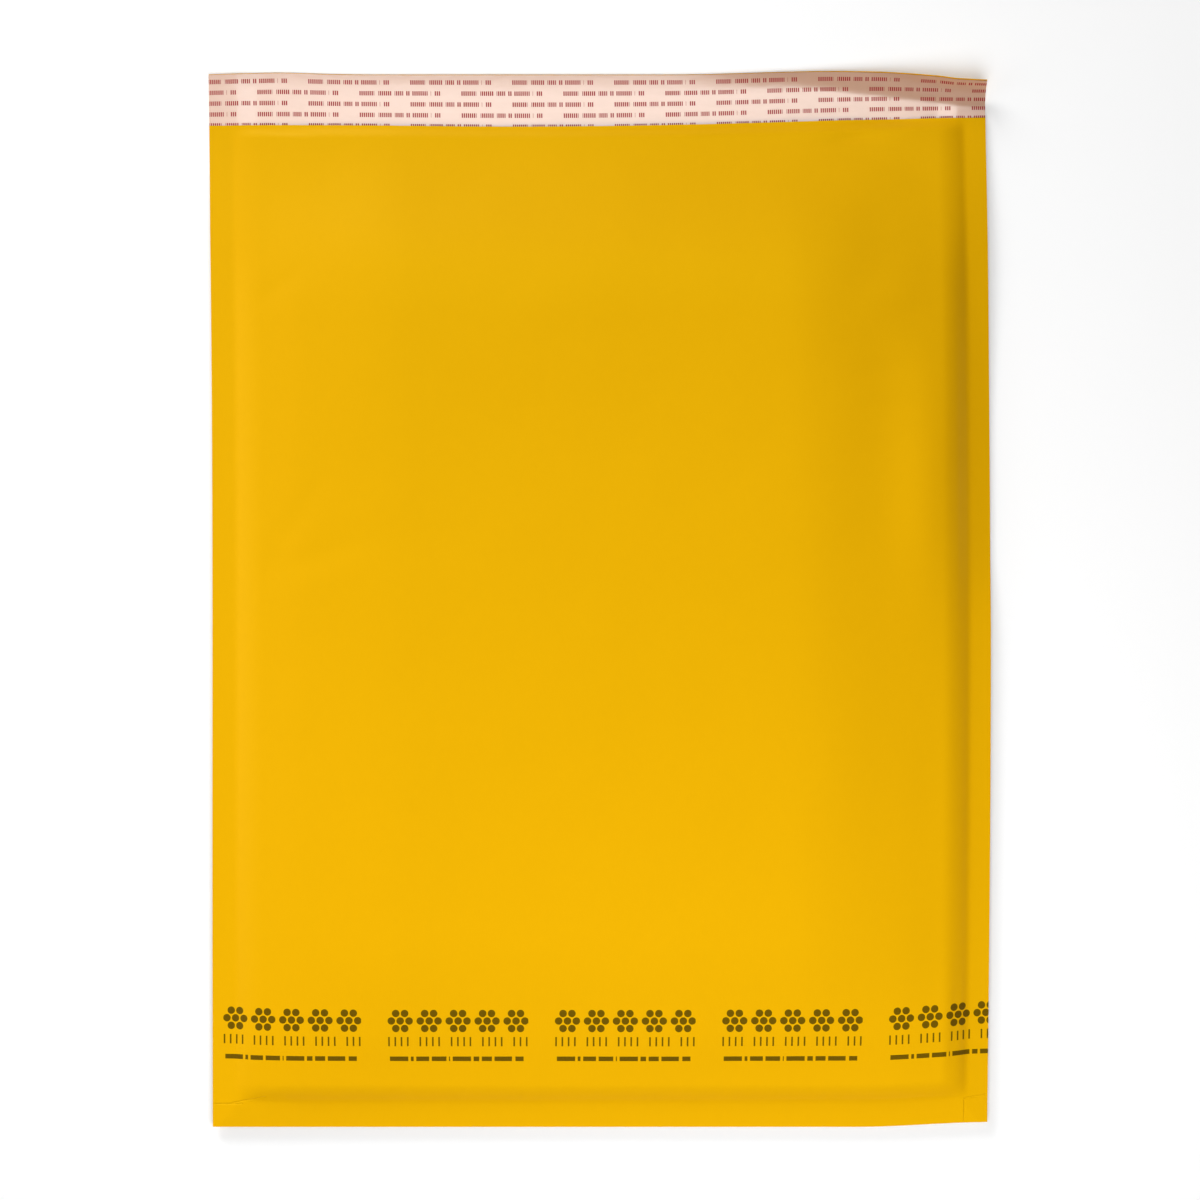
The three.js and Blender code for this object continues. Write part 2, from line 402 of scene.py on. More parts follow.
@dataclass(frozen=True)
class LipEdge:
    """How the lip's cut edge stands out past a straight line.

    Attributes:
        right, right_start, right_run: How far it does on the right, from where and over what length.
        lost, lost_start, lost_run: The share of that which is lost again, from where and over what length.
        left, left_middle, left_reach: How far it does on the left, where and how widely.
    """

    right: float = 1.7 * MM
    right_start: float = 215 * MM
    right_run: float = 80 * MM
    lost: float = 0.5
    lost_start: float = 310 * MM
    lost_run: float = 40 * MM
    left: float = 0.9 * MM
    left_middle: float = 32 * MM
    left_reach: float = 22 * MM

    def bulge(self, across: float) -> float:
        """Give how far the edge stands out.

        Args:
            across: Flat distance from the left edge.

        Returns:
            The distance up the table.
        """
        kept = 1 - self.lost * ease(across - self.lost_start, self.lost_run)
        right = self.right * ease(across - self.right_start, self.right_run) * kept
        left = self.left * math.exp(-(((across - self.left_middle) / self.left_reach) ** 2))
        return right + left


class Side(Enum):
    """Which way a ply's thickness builds up from its own surface."""

    UP = 1
    DOWN = -1


@dataclass
class Envelope:
    """The form of the envelope in the frame, and what every ply of it needs.

    Attributes:
        form: The form of the sealed webs.
        relief: Unevenness of the front paper.
        relief_run: Length over which it fades out towards the seals.
        left, right, bottom: How the front rises beside each seal.
        lip_edge: The lip's cut edge.
        fine, edge: Step between bends near the edges, and how wide those strips are.
        sag, sag_run: How far the pocket closes at the mouth, and the length over which it does.
        press, press_run: Share of their height that the bubbles keep at the mouth, and the length
            over which they are pressed.
        tip_drop, tip_run: How far the front's cut edge hangs at the mouth, and over what length.
        side_droop, side_droop_width: How far the right margin sinks midway, and its width.
        droop_start, droop_growth: Where that starts, and the length over which it grows.
        droop_end, droop_fade: Where it ends, and the length over which it fades.
    """

    form: WebForm = field(default_factory=WebForm)
    relief: Relief = field(default_factory=Relief)
    relief_run: float = 30 * MM
    left: Shoulder = Shoulder(-3.5 * MM, 4 * MM, 11 * MM, 0.55)
    right: Shoulder = Shoulder(-4.0 * MM, 3 * MM, 11 * MM, 0.8)
    bottom: Shoulder = Shoulder(0.4 * MM, 1.8 * MM, 8 * MM, 0.68)
    lip_edge: LipEdge = LipEdge()
    fine: float = 0.9 * MM
    edge: float = 28 * MM
    sag: float = 5.8 * MM
    sag_run: float = 70 * MM
    press: float = 0.34
    press_run: float = 90 * MM
    tip_drop: float = 1.8 * MM
    tip_run: float = 6 * MM
    side_droop: float = 1.6 * MM
    side_droop_width: float = 16 * MM
    droop_start: float = 228 * MM
    droop_growth: float = 45 * MM
    droop_end: float = 415 * MM
    droop_fade: float = 95 * MM

    def __post_init__(self) -> None:
        """Work out the shift from the flat web's middle to the frame."""
        low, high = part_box("back_sheet")
        form = self.form
        steps = [form.half_length * (i / 200 - 1) for i in range(401)]
        left = min(form.left_edge(y) for y in steps)
        self.shift = Vector((low[0] - left, low[1] + form.half_length, 0))

    def across_stations(self, middle: float) -> list[float]:
        """List the bends across a web.

        Args:
            middle: Step over the body.

        Returns:
            Distances from the left edge.
        """
        width = self.form.width
        return stations(
            (0, self.edge, self.fine),
            (self.edge, width - self.edge, middle),
            (width - self.edge, width, self.fine),
        )

    def along_stations(self, end: float, middle: float) -> list[float]:
        """List the bends along a web.

        Args:
            end: Where the web ends.
            middle: Step over the body.

        Returns:
            Distances from the bottom edge.
        """
        near_mouth = self.form.front_length - self.edge / 2
        return stations(
            (0, self.edge, self.fine),
            (self.edge, near_mouth, middle),
            (near_mouth, end, self.fine),
        )

    def front_relief(self, across: float, along: float) -> float:
        """Give the relief of the front, which fades out towards the seals.

        Args:
            across: Flat distance from the left edge.
            along: Flat distance from the bottom edge.

        Returns:
            The height that it adds or takes.
        """
        form = self.form
        uneven = self.relief.at(across, along) * form.inside_seals(across, along, self.relief_run)
        return uneven - self.relief.hollow(across, along) * self.rise_share(across, along)

    def rise_share(self, across: float, along: float) -> float:
        """Tell how much of its rise the front has at a point, from 0 on the seals to 1.

        Args:
            across: Flat distance from the left edge.
            along: Flat distance from the bottom edge.

        Returns:
            The share.
        """
        form = self.form
        sides = self.left.at(across - form.side_seal) * self.right.at(form.width - form.side_seal - across)
        return sides * self.bottom.at(along - form.bottom_seal)

    def seal_height(self, along: float) -> float:
        """Height of the seals above the table, which sinks towards the mouth.

        Args:
            along: Flat distance from the bottom edge.

        Returns:
            The height.
        """
        form = self.form
        sunk = ease(along - form.front_length + form.settle_run, form.settle_run)
        return lerp(form.seal_rise, form.mouth_rise, sunk)

    def droop(self, across: float, along: float) -> float:
        """Tell how far the margins hang down, which is less where the seals lie low."""
        return self.form.droop(across, along) * self.seal_height(along) / self.form.seal_rise

    def back_under(self, across: float, along: float) -> float:
        """Height of the back paper's underside: on the table, and raised along the margins."""
        raised = (1 - self.form.padding(across, along)) * self.seal_height(along)
        return raised - self.droop(across, along)

    def back_lining_under(self, across: float, along: float) -> float:
        """Height of the back film's paper side."""
        return self.back_under(across, along) + self.form.paper + self.form.ply_gap

    def adhesive_under(self, across: float, along: float) -> float:
        """Height of the adhesive's underside on the lip."""
        return self.back_under(across, along) + self.form.paper + self.form.ply_gap

    def liner_under(self, across: float, along: float) -> float:
        """Height of the liner's underside on the adhesive."""
        return self.adhesive_under(across, along) + self.form.adhesive + self.form.ply_gap

    def bubble_share(self, across: float, along: float) -> float:
        """Tell how much of their height the bubbles keep, pressed by the seals and at the mouth.

        Args:
            across: Flat distance from the left edge.
            along: Flat distance from the bottom edge.

        Returns:
            The share, from 0 to 1.
        """
        form = self.form
        pressed = lerp(self.press, 1, ease(form.front_length - along, self.press_run))
        bubbles = 2 * (form.bubble - form.film)
        seal = self.seal_height(along)
        room = (bubbles - seal) * self.rise_share(across, along) + seal * form.padding(across, along)
        return clamp(room / bubbles) * pressed

    def pocket(self, across: float, along: float) -> float:
        """Tell how far the two linings stand apart, which closes towards the mouth.

        Args:
            across: Flat distance from the left edge.
            along: Flat distance from the bottom edge.

        Returns:
            The distance.
        """
        form = self.form
        closed = ease(along - form.front_length + self.sag_run, self.sag_run)
        return (form.pocket - self.sag * closed) * form.inside_seals(across, along, form.crown)

    def front_under(self, across: float, along: float) -> float:
        """Height of the smooth front's underside, above the linings and the pocket.

        Args:
            across: Flat distance from the left edge.
            along: Flat distance from the bottom edge.

        Returns:
            The height above the table.
        """
        form = self.form
        bubbles = 2 * (form.bubble - form.film)
        seal = self.seal_height(along)
        sealed = seal + form.paper + 2 * form.film + 3 * form.ply_gap - self.droop(across, along)
        lost = bubbles * (1 - self.press) * (1 - ease(form.front_length - along, self.press_run))
        rise = (bubbles - seal - lost) * self.rise_share(across, along)
        return sealed + rise + self.pocket(across, along)

    def margin_droop(self, across: float, along: float) -> float:
        """Tell how far the right margin hangs down along the middle of its length.

        Args:
            across: Flat distance from the left edge.
            along: Flat distance from the bottom edge.

        Returns:
            The drop.
        """
        share = clamp(1 - (self.form.width - across) / self.side_droop_width)
        faded = ease(self.droop_end - along, self.droop_fade)
        reach = faded * ease(along - self.droop_start, self.droop_growth)
        return self.side_droop * share * reach

    def bulge(self, across: float, along: float) -> float:
        """Tell how far a point of the lip is pushed out by the bulge of its cut edge."""
        form = self.form
        return self.lip_edge.bulge(across) * clamp((along - form.front_length) / form.lip)

    def lay(self, bm: bmesh.types.BMesh, surface: Height, side: Side, bubbles: bool = False) -> None:
        """Move a flat ply's points to where the sealed envelope holds them.

        Args:
            bm: The flat ply: across, along, and the depth above its own surface.
            surface: Height of the surface that the ply builds up from.
            side: Whether it builds up or down from there.
            bubbles: Whether what stands above the film is pressed flat by the seals.
        """
        web = bm.verts.layers.float_vector.new("web")
        form = self.form
        for vert in bm.verts:
            across, along, depth = vert.co
            vert[web] = vert.co
            if bubbles and depth > form.film:
                depth = form.film + (depth - form.film) * self.bubble_share(across, along)
            height = surface(across, along) + side.value * depth - self.margin_droop(across, along)
            vert.co = form.place(across, along, height) + self.shift
            vert.co.y += self.bulge(across, along)
        bmesh.ops.recalc_face_normals(bm, faces=bm.faces[:])


def flat_ply(across: Sequence[float], along: Sequence[float], thickness: float) -> bmesh.types.BMesh:
    """Make a flat rectangular ply that is bent at given distances.

    Args:
        across: Distances across at which it can bend, its two edges included.
        along: Distances along at which it can bend, its two ends included.
        thickness: How thick it is.

    Returns:
        The closed ply, with its surface at zero height and its thickness above it.
    """
    bm = bmesh.new()
    columns = len(across) - 1
    rows = len(along) - 1
    bmesh.ops.create_grid(bm, x_segments=columns, y_segments=rows, size=0.5)
    for vert in bm.verts:
        column = round((vert.co.x + 0.5) * columns)
        row = round((vert.co.y + 0.5) * rows)
        vert.co.xy = across[column], along[row]
    wall = bmesh.ops.extrude_face_region(bm, geom=bm.faces[:], use_keep_orig=True)["geom"]
    upper = [item for item in wall if isinstance(item, bmesh.types.BMVert)]
    bmesh.ops.translate(bm, verts=upper, vec=(0, 0, thickness))
    return bm


def finish_piece(name: str, bm: bmesh.types.BMesh, material: bpy.types.Material) -> bpy.types.Object:
    """Turn a bmesh into a smooth-shaded object that rides with the envelope.

    Args:
        name: Name of the piece.
        bm: Its mesh, which is freed.
        material: Its finish.

    Returns:
        The new object.
    """
    mesh = bpy.data.meshes.new(name)
    bm.to_mesh(mesh)
    bm.free()
    mesh.shade_smooth()
    mesh.set_sharp_from_angle(angle=math.radians(40))
    mesh.materials.append(material)
    piece = bpy.data.objects.new(name, mesh)
    bpy.context.scene.collection.objects.link(piece)
    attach(piece, BODY)
    return piece


class Field:
    """A number that varies over a surface, as one socket of a material's node tree."""

    def __init__(self, tree: bpy.types.NodeTree, socket: bpy.types.NodeSocket) -> None:
        """Keep the tree and the socket."""
        self.tree = tree
        self.socket = socket

    def _math(self, operation: str, *others: "Field | float") -> "Field":
        """Put a math node on this number and up to two others.

        Args:
            operation: What the node works out.
            others: The other numbers, each plain or varying.

        Returns:
            The node's result.
        """
        node = self.tree.nodes.new("ShaderNodeMath")
        node.operation = operation
        for entry, value in zip(node.inputs, (self, *others)):
            if isinstance(value, Field):
                self.tree.links.new(value.socket, entry)
            else:
                entry.default_value = value
        return Field(self.tree, node.outputs[0])

    def __add__(self, other: "Field | float") -> "Field":
        """Add."""
        return self._math("ADD", other)

    def __sub__(self, other: "Field | float") -> "Field":
        """Subtract."""
        return self._math("SUBTRACT", other)

    def __mul__(self, other: "Field | float") -> "Field":
        """Multiply."""
        return self._math("MULTIPLY", other)

    def __truediv__(self, other: "Field | float") -> "Field":
        """Divide."""
        return self._math("DIVIDE", other)

    def distance(self) -> "Field":
        """Drop the sign."""
        return self._math("ABSOLUTE")

    def floor(self) -> "Field":
        """Round down."""
        return self._math("FLOOR")

    def within(self, repeat: "Field | float") -> "Field":
        """Give the place within one repeat of a length."""
        return self._math("FLOORED_MODULO", repeat)

    def least(self, other: "Field | float") -> "Field":
        """Give the lesser of two."""
        return self._math("MINIMUM", other)

    def most(self, other: "Field | float") -> "Field":
        """Give the greater of two."""
        return self._math("MAXIMUM", other)

    def reach(self, other: "Field") -> "Field":
        """Give the length of the line to a point whose offsets are these two."""
        return (self * self + other * other)._math("SQRT")

    def below(self, edge: "Field | float", blur: float = 0.06 * MM) -> "Field":
        """Give 1 below an edge and 0 above it, with a soft change between."""
        return ((self * -1 + edge) / blur + 0.5)._math("MINIMUM", 1.0)._math("MAXIMUM", 0.0)


class Finish:
    """A material under construction: its principled shader and its sources of pattern."""

    def __init__(self, name: str, **sockets: object) -> None:
        """Start a material and set its shader's plain values.

        Args:
            name: Name of the material.
            sockets: Values of the shader's sockets, by name, with a low line for each space.
        """
        self.material = bpy.data.materials.new(name)
        self.material.use_nodes = True
        self.tree = self.material.node_tree
        self.shader = self.tree.nodes["Principled BSDF"]
        for socket, value in sockets.items():
            self.shader.inputs[socket.replace("_", " ")].default_value = value

    def web(self) -> tuple[Field, Field, Field]:
        """Read where on its flat ply a point lies.

        Returns:
            Its distances across and along, and its depth in the ply.
        """
        source = self.tree.nodes.new("ShaderNodeAttribute")
        source.attribute_name = "web"
        parts = self.tree.nodes.new("ShaderNodeSeparateXYZ")
        self.tree.links.new(source.outputs["Vector"], parts.inputs[0])
        across, along, depth = (Field(self.tree, socket) for socket in parts.outputs)
        return across, along, depth

    def noise(self, across: Field, along: Field, size: tuple[float, float], detail: float) -> Field:
        """Give a cloudy pattern from 0 to 1 over the flat ply.

        Args:
            across: Distance across.
            along: Distance along.
            size: Size of its clouds across and along.
            detail: How many finer layers it has.

        Returns:
            The pattern.
        """
        joined = self.tree.nodes.new("ShaderNodeCombineXYZ")
        self.tree.links.new((across / size[0]).socket, joined.inputs[0])
        self.tree.links.new((along / size[1]).socket, joined.inputs[1])
        clouds = self.tree.nodes.new("ShaderNodeTexNoise")
        clouds.inputs["Scale"].default_value = 1.0
        clouds.inputs["Detail"].default_value = detail
        self.tree.links.new(joined.outputs[0], clouds.inputs["Vector"])
        return Field(self.tree, clouds.outputs["Fac"])

    def mix(
        self, share: Field, first: "Colour | bpy.types.NodeSocket", second: "Colour | bpy.types.NodeSocket",
    ) -> bpy.types.NodeSocket:
        """Blend two colours, each plain or varying.

        Args:
            share: How much of the second there is, from 0 to 1.
            first: The first colour.
            second: The second colour.

        Returns:
            The blend.
        """
        node = self.tree.nodes.new("ShaderNodeMix")
        node.data_type = "RGBA"
        self.tree.links.new(share.socket, node.inputs["Factor"])
        for entry, colour in zip((node.inputs[6], node.inputs[7]), (first, second)):
            if isinstance(colour, bpy.types.NodeSocket):
                self.tree.links.new(colour, entry)
            else:
                entry.default_value = (*colour, 1.0)
        return node.outputs[2]

    def link(self, source: "Field | bpy.types.NodeSocket", socket: str) -> None:
        """Drive one of the shader's sockets."""
        origin = source.socket if isinstance(source, Field) else source
        self.tree.links.new(origin, self.shader.inputs[socket])

    def bump(self, height: Field, distance: float, strength: float = 1.0) -> None:
        """Raise the surface by a pattern.

        Args:
            height: The pattern.
            distance: Height that a pattern of 1 stands for.
            strength: Share of the effect.
        """
        node = self.tree.nodes.new("ShaderNodeBump")
        node.inputs["Distance"].default_value = distance
        node.inputs["Strength"].default_value = strength
        self.tree.links.new(height.socket, node.inputs["Height"])
        self.tree.links.new(node.outputs[0], self.shader.inputs["Normal"])


@dataclass(frozen=True)
class WallPrint:
    """Generic marks in a band near the bottom of the front: clusters of dots, ticks and dashes.

    Attributes:
        repeat, start, block: Length of one repeat, where the first starts, and how much of it is printed.
        cluster_middle, cluster_pitch: Height of the clusters on the front, and their spacing.
        dot, dot_pitch: Radius of a dot, and the spacing of dots in a cluster.
        tick_middle, tick_height, tick_pitch, tick_width: Height on the front, size and spacing of ticks.
        tick_group: How many ticks make a group, of which the last is left out.
        dash_middle, dash_height, dash_block, dash_inset: The row of dashes.
        short_pitch, short_dash: Spacing and length of its short dashes.
        long_pitch, long_dash, long_shift: Spacing, length and shift of the long ones that cut them.
    """

    repeat: float = 77.4 * MM
    start: float = 4.2 * MM
    block: float = 66 * MM
    cluster_middle: float = 51.2 * MM
    cluster_pitch: float = 13.4 * MM
    dot: float = 1.75 * MM
    dot_pitch: float = 4.1 * MM
    tick_middle: float = 41.4 * MM
    tick_height: float = 4.4 * MM
    tick_pitch: float = 2.9 * MM
    tick_width: float = 0.75 * MM
    tick_group: int = 5
    dash_middle: float = 33.2 * MM
    dash_height: float = 2.2 * MM
    dash_block: float = 62 * MM
    dash_inset: float = 1.8 * MM
    short_pitch: float = 9.7 * MM
    short_dash: float = 8.5 * MM
    long_pitch: float = 15.2 * MM
    long_dash: float = 14 * MM
    long_shift: float = 3 * MM

    def ink(self, across: Field, along: Field) -> Field:
        """Give the print's ink, from 0 to 1.

        Args:
            across: Distance across the front.
            along: Distance along the front.

        Returns:
            The ink.
        """
        u = (across - self.start).within(self.repeat)
        in_block = u.below(self.block)
        dots = self._clusters(u, along) * in_block
        ticks = self._ticks(u, along) * in_block
        return dots.most(ticks).most(self._dashes(u, along))

    def _clusters(self, u: Field, along: Field) -> Field:
        """Print one dot in the middle and six around it, again and again.

        Args:
            u: Distance into the repeat.
            along: Distance along the front.

        Returns:
            Their ink, from 0 to 1.
        """
        x = (u.within(self.cluster_pitch) - self.cluster_pitch / 2).distance()
        y = (along - self.cluster_middle).distance()
        inline = x.least((x - self.dot_pitch).distance()).reach(y)
        row = self.dot_pitch * math.sqrt(3) / 2
        beside = (x - self.dot_pitch / 2).reach(y - row)
        return inline.least(beside).below(self.dot)

    def _ticks(self, u: Field, along: Field) -> Field:
        """Print a row of upright ticks, every fifth one left out.

        Args:
            u: Distance into the repeat.
            along: Distance along the front.

        Returns:
            Their ink, from 0 to 1.
        """
        x = (u.within(self.tick_pitch) - self.tick_pitch / 2).distance()
        y = (along - self.tick_middle).distance()
        shown = u.within(self.tick_group * self.tick_pitch).below((self.tick_group - 1) * self.tick_pitch)
        return x.below(self.tick_width / 2) * y.below(self.tick_height / 2) * shown

    def _dashes(self, u: Field, along: Field) -> Field:
        """Print a row of dashes of several lengths.

        Args:
            u: Distance into the repeat.
            along: Distance along the front.

        Returns:
            Their ink, from 0 to 1.
        """
        v = u - self.dash_inset
        inside = v.below(self.dash_block) * (v * -1).below(0.0)
        first = v.within(self.short_pitch).below(self.short_dash)
        second = (v + self.long_shift).within(self.long_pitch).below(self.long_dash)
        y = (along - self.dash_middle).distance()
        return first * second * y.below(self.dash_height / 2) * inside


@dataclass(frozen=True)
class LinerPrint:
    """Generic marks all over the release liner: rows of small ticks grouped in dashes.

    Attributes:
        row_pitch, first_row: Spacing of the rows, and where along the web the first lies.
        start, repeat, block: Where a row starts, its repeat, and how much of that is printed.
        tick_pitch, tick_width, tick_height: Spacing and size of ticks.
        group_pitch, group: Spacing and length of the groups of ticks.
        set_pitch, set_length, set_shift: Spacing, length and shift of the longer sets that cut them.
    """

    row_pitch: float = 4.65 * MM
    first_row: float = 469.45 * MM
    start: float = -1.4 * MM
    repeat: float = 47.6 * MM
    block: float = 38 * MM
    tick_pitch: float = 0.95 * MM
    tick_width: float = 0.58 * MM
    tick_height: float = 1.9 * MM
    group_pitch: float = 8.3 * MM
    group: float = 7.1 * MM
    set_pitch: float = 13 * MM
    set_length: float = 11.6 * MM
    set_shift: float = 4 * MM

    def ink(self, across: Field, along: Field) -> Field:
        """Give the print's ink, from 0 to 1.

        Args:
            across: Distance across the liner.
            along: Distance along the web.

        Returns:
            The ink.
        """
        rise = along - self.first_row + self.row_pitch / 2
        row = (rise / self.row_pitch).floor()
        y = (rise.within(self.row_pitch) - self.row_pitch / 2).distance()
        u = (across + row * (self.repeat / 2) - self.start).within(self.repeat)
        in_set = (u + self.set_shift).within(self.set_pitch).below(self.set_length)
        groups = u.within(self.group_pitch).below(self.group) * in_set
        x = (u.within(self.tick_pitch) - self.tick_pitch / 2).distance()
        ticks = x.below(self.tick_width / 2) * y.below(self.tick_height / 2)
        return ticks * groups * u.below(self.block)


@dataclass(frozen=True)
class PressedLines:
    """Fine lines that the sealing bars press into the margins near the bottom corners.

    Attributes:
        lines: For each line its middle across and along, its half lengths and its slant.
        depth: How deep they are, in the finish's bump heights.
        blur: Width over which each fades out.
    """

    lines: tuple[tuple[float, float, float, float, float], ...] = (
        (356.2 * MM, 12.2 * MM, 5.4 * MM, 0.3 * MM, 0.12),
        (351.0 * MM, 5.6 * MM, 0.3 * MM, 5.2 * MM, 0.0),
        (17.0 * MM, 12.9 * MM, 8.0 * MM, 0.35 * MM, 0.2),
        (7.5 * MM, 10.9 * MM, 6.5 * MM, 0.3 * MM, 0.02),
    )
    depth: float = 5.0
    blur: float = 0.4 * MM

    def height(self, across: Field, along: Field) -> Field:
        """Give the lines' height.

        Args:
            across: Distance across the front.
            along: Distance along the front.

        Returns:
            The height, which is less than nothing where they lie.
        """
        pressed = None
        for middle, up, half_length, half_width, slant in self.lines:
            u = across - middle
            v = along - up - u * slant
            line = u.distance().below(half_length, self.blur) * v.distance().below(half_width, self.blur)
            pressed = line if pressed is None else pressed.most(line)
        return pressed * -self.depth


@dataclass(frozen=True)
class Kraft:
    """Golden kraft paper: mottled, with fine fibres that run along the web.

    Attributes:
        pale, deep: Its two colours.
        ink: Colour of its print.
        sheen, roughness: Tint and softness of its sheen.
        mottle_size, fibre_size, grain_size: Size across and along of its mottle, fibres and ink grain.
        ink_cover, ink_grain: How well the ink covers, and how much more it does in places.
        print_depth: Depth in the ply above which the print lies.
        bump_depth: Height of its fibres.
    """

    pale: Colour = (0.845, 0.435, 0.001)
    deep: Colour = (0.81, 0.41, 0.001)
    ink: Colour = (0.075, 0.04, 0.002)
    sheen: Tint = (1.0, 0.86, 0.02, 1.0)
    roughness: float = 0.5
    mottle_size: tuple[float, float] = (5 * MM, 7 * MM)
    fibre_size: tuple[float, float] = (0.5 * MM, 4 * MM)
    grain_size: tuple[float, float] = (0.8 * MM, 0.8 * MM)
    ink_cover: float = 0.86
    ink_grain: float = 0.12
    print_depth: float = 0.12 * MM
    bump_depth: float = 0.04 * MM

    def material(self, name: str, wall_print: WallPrint | None = None) -> bpy.types.Material:
        """Make the paper, plain or printed.

        Args:
            name: Name of the material.
            wall_print: What is printed on its upper face.

        Returns:
            The material.
        """
        finish = Finish(name, Roughness=self.roughness, Specular_Tint=self.sheen)
        across, along, depth = finish.web()
        mottle = finish.noise(across, along, self.mottle_size, 3)
        fibres = finish.noise(across, along, self.fibre_size, 4)
        colour = finish.mix(mottle * 0.5 + fibres * 0.5, self.pale, self.deep)
        if wall_print:
            ink = wall_print.ink(across, along)
            outside = (depth * -1).below(-self.print_depth)
            uneven = finish.noise(across, along, self.grain_size, 2)
            cover = ink * outside * (uneven * self.ink_grain + self.ink_cover)
            colour = finish.mix(cover, colour, self.ink)
        finish.link(colour, "Base Color")
        height = fibres * 0.7 + mottle * 0.3
        if wall_print:
            height = height + PressedLines().height(across, along)
        finish.bump(height, self.bump_depth)
        return finish.material


@dataclass(frozen=True)
class LinerStock:
    """Smooth siliconised paper, warm pinkish white, with its print.

    Attributes:
        pale, deep: Its two colours.
        ink, ink_cover: Colour of its print, and how well that covers.
        roughness, ink_roughness: Softness of its sheen, and how much softer it is on the ink.
        ink_dulling: How much of the sheen the ink takes away.
        mottle_size: Size across and along of its mottle.
        print_depth: Depth in the ply above which the print lies.
        bump_depth: Height of its mottle.
    """

    pale: Colour = (0.67, 0.39, 0.26)
    deep: Colour = (0.62, 0.35, 0.225)
    ink: Colour = (0.38, 0.02, 0.03)
    ink_cover: float = 0.97
    roughness: float = 0.28
    ink_roughness: float = 0.3
    ink_dulling: float = 0.9
    mottle_size: tuple[float, float] = (6 * MM, 3 * MM)
    print_depth: float = 0.07 * MM
    bump_depth: float = 0.05 * MM

    def material(self, name: str) -> bpy.types.Material:
        """Make the liner's material.

        Args:
            name: Name of the material.

        Returns:
            The material.
        """
        finish = Finish(name)
        across, along, depth = finish.web()
        mottle = finish.noise(across, along, self.mottle_size, 3)
        outside = (depth * -1).below(-self.print_depth)
        colour = finish.mix(mottle, self.pale, self.deep)
        ink = LinerPrint().ink(across, along) * outside * self.ink_cover
        finish.link(finish.mix(ink, colour, self.ink), "Base Color")
        finish.link(ink * self.ink_roughness + self.roughness, "Roughness")
        finish.link(ink * -self.ink_dulling + 1, "Specular IOR Level")
        finish.bump(mottle, self.bump_depth)
        return finish.material


@dataclass(frozen=True)
class BubbleFilm:
    """Clear, slightly milky polyethylene film.

    Attributes:
        tint: Its colour.
        haze_size: Size across and along of its haze.
        bump_depth: Height of its unevenness.
    """

    tint: Tint = (0.86, 0.89, 0.89, 1.0)
    haze_size: tuple[float, float] = (2.5 * MM, 2.5 * MM)
    bump_depth: float = 0.15 * MM

    def material(self, name: str) -> bpy.types.Material:
        """Make the film's material.

        Args:
            name: Name of the material.

        Returns:
            The material.
        """
        finish = Finish(
            name, Base_Color=self.tint, IOR=1.12, Transmission_Weight=0.75, Coat_Weight=0.6,
            Coat_Roughness=0.08,
        )
        across, along, _ = finish.web()
        haze = finish.noise(across, along, self.haze_size, 4)
        finish.link(haze * 0.2 + 0.08, "Roughness")
        finish.bump(haze, self.bump_depth)
        return finish.material


@dataclass(frozen=True)
class HotMelt:
    """Pale amber pressure-sensitive adhesive.

    Attributes:
        tint: Its colour.
        swirl_size: Size across and along of its swirls.
        bump_depth: Height of its swirls.
    """

    tint: Tint = (0.81, 0.72, 0.42, 1.0)
    swirl_size: tuple[float, float] = (3 * MM, 1.2 * MM)
    bump_depth: float = 0.1 * MM

    def material(self, name: str) -> bpy.types.Material:
        """Make the adhesive's material.

        Args:
            name: Name of the material.

        Returns:
            The material.
        """
        finish = Finish(name, Base_Color=self.tint, Subsurface_Weight=0.2)
        across, along, _ = finish.web()
        swirl = finish.noise(across, along, self.swirl_size, 3)
        finish.link(swirl * 0.3 + 0.15, "Roughness")
        finish.bump(swirl, self.bump_depth)
        return finish.material


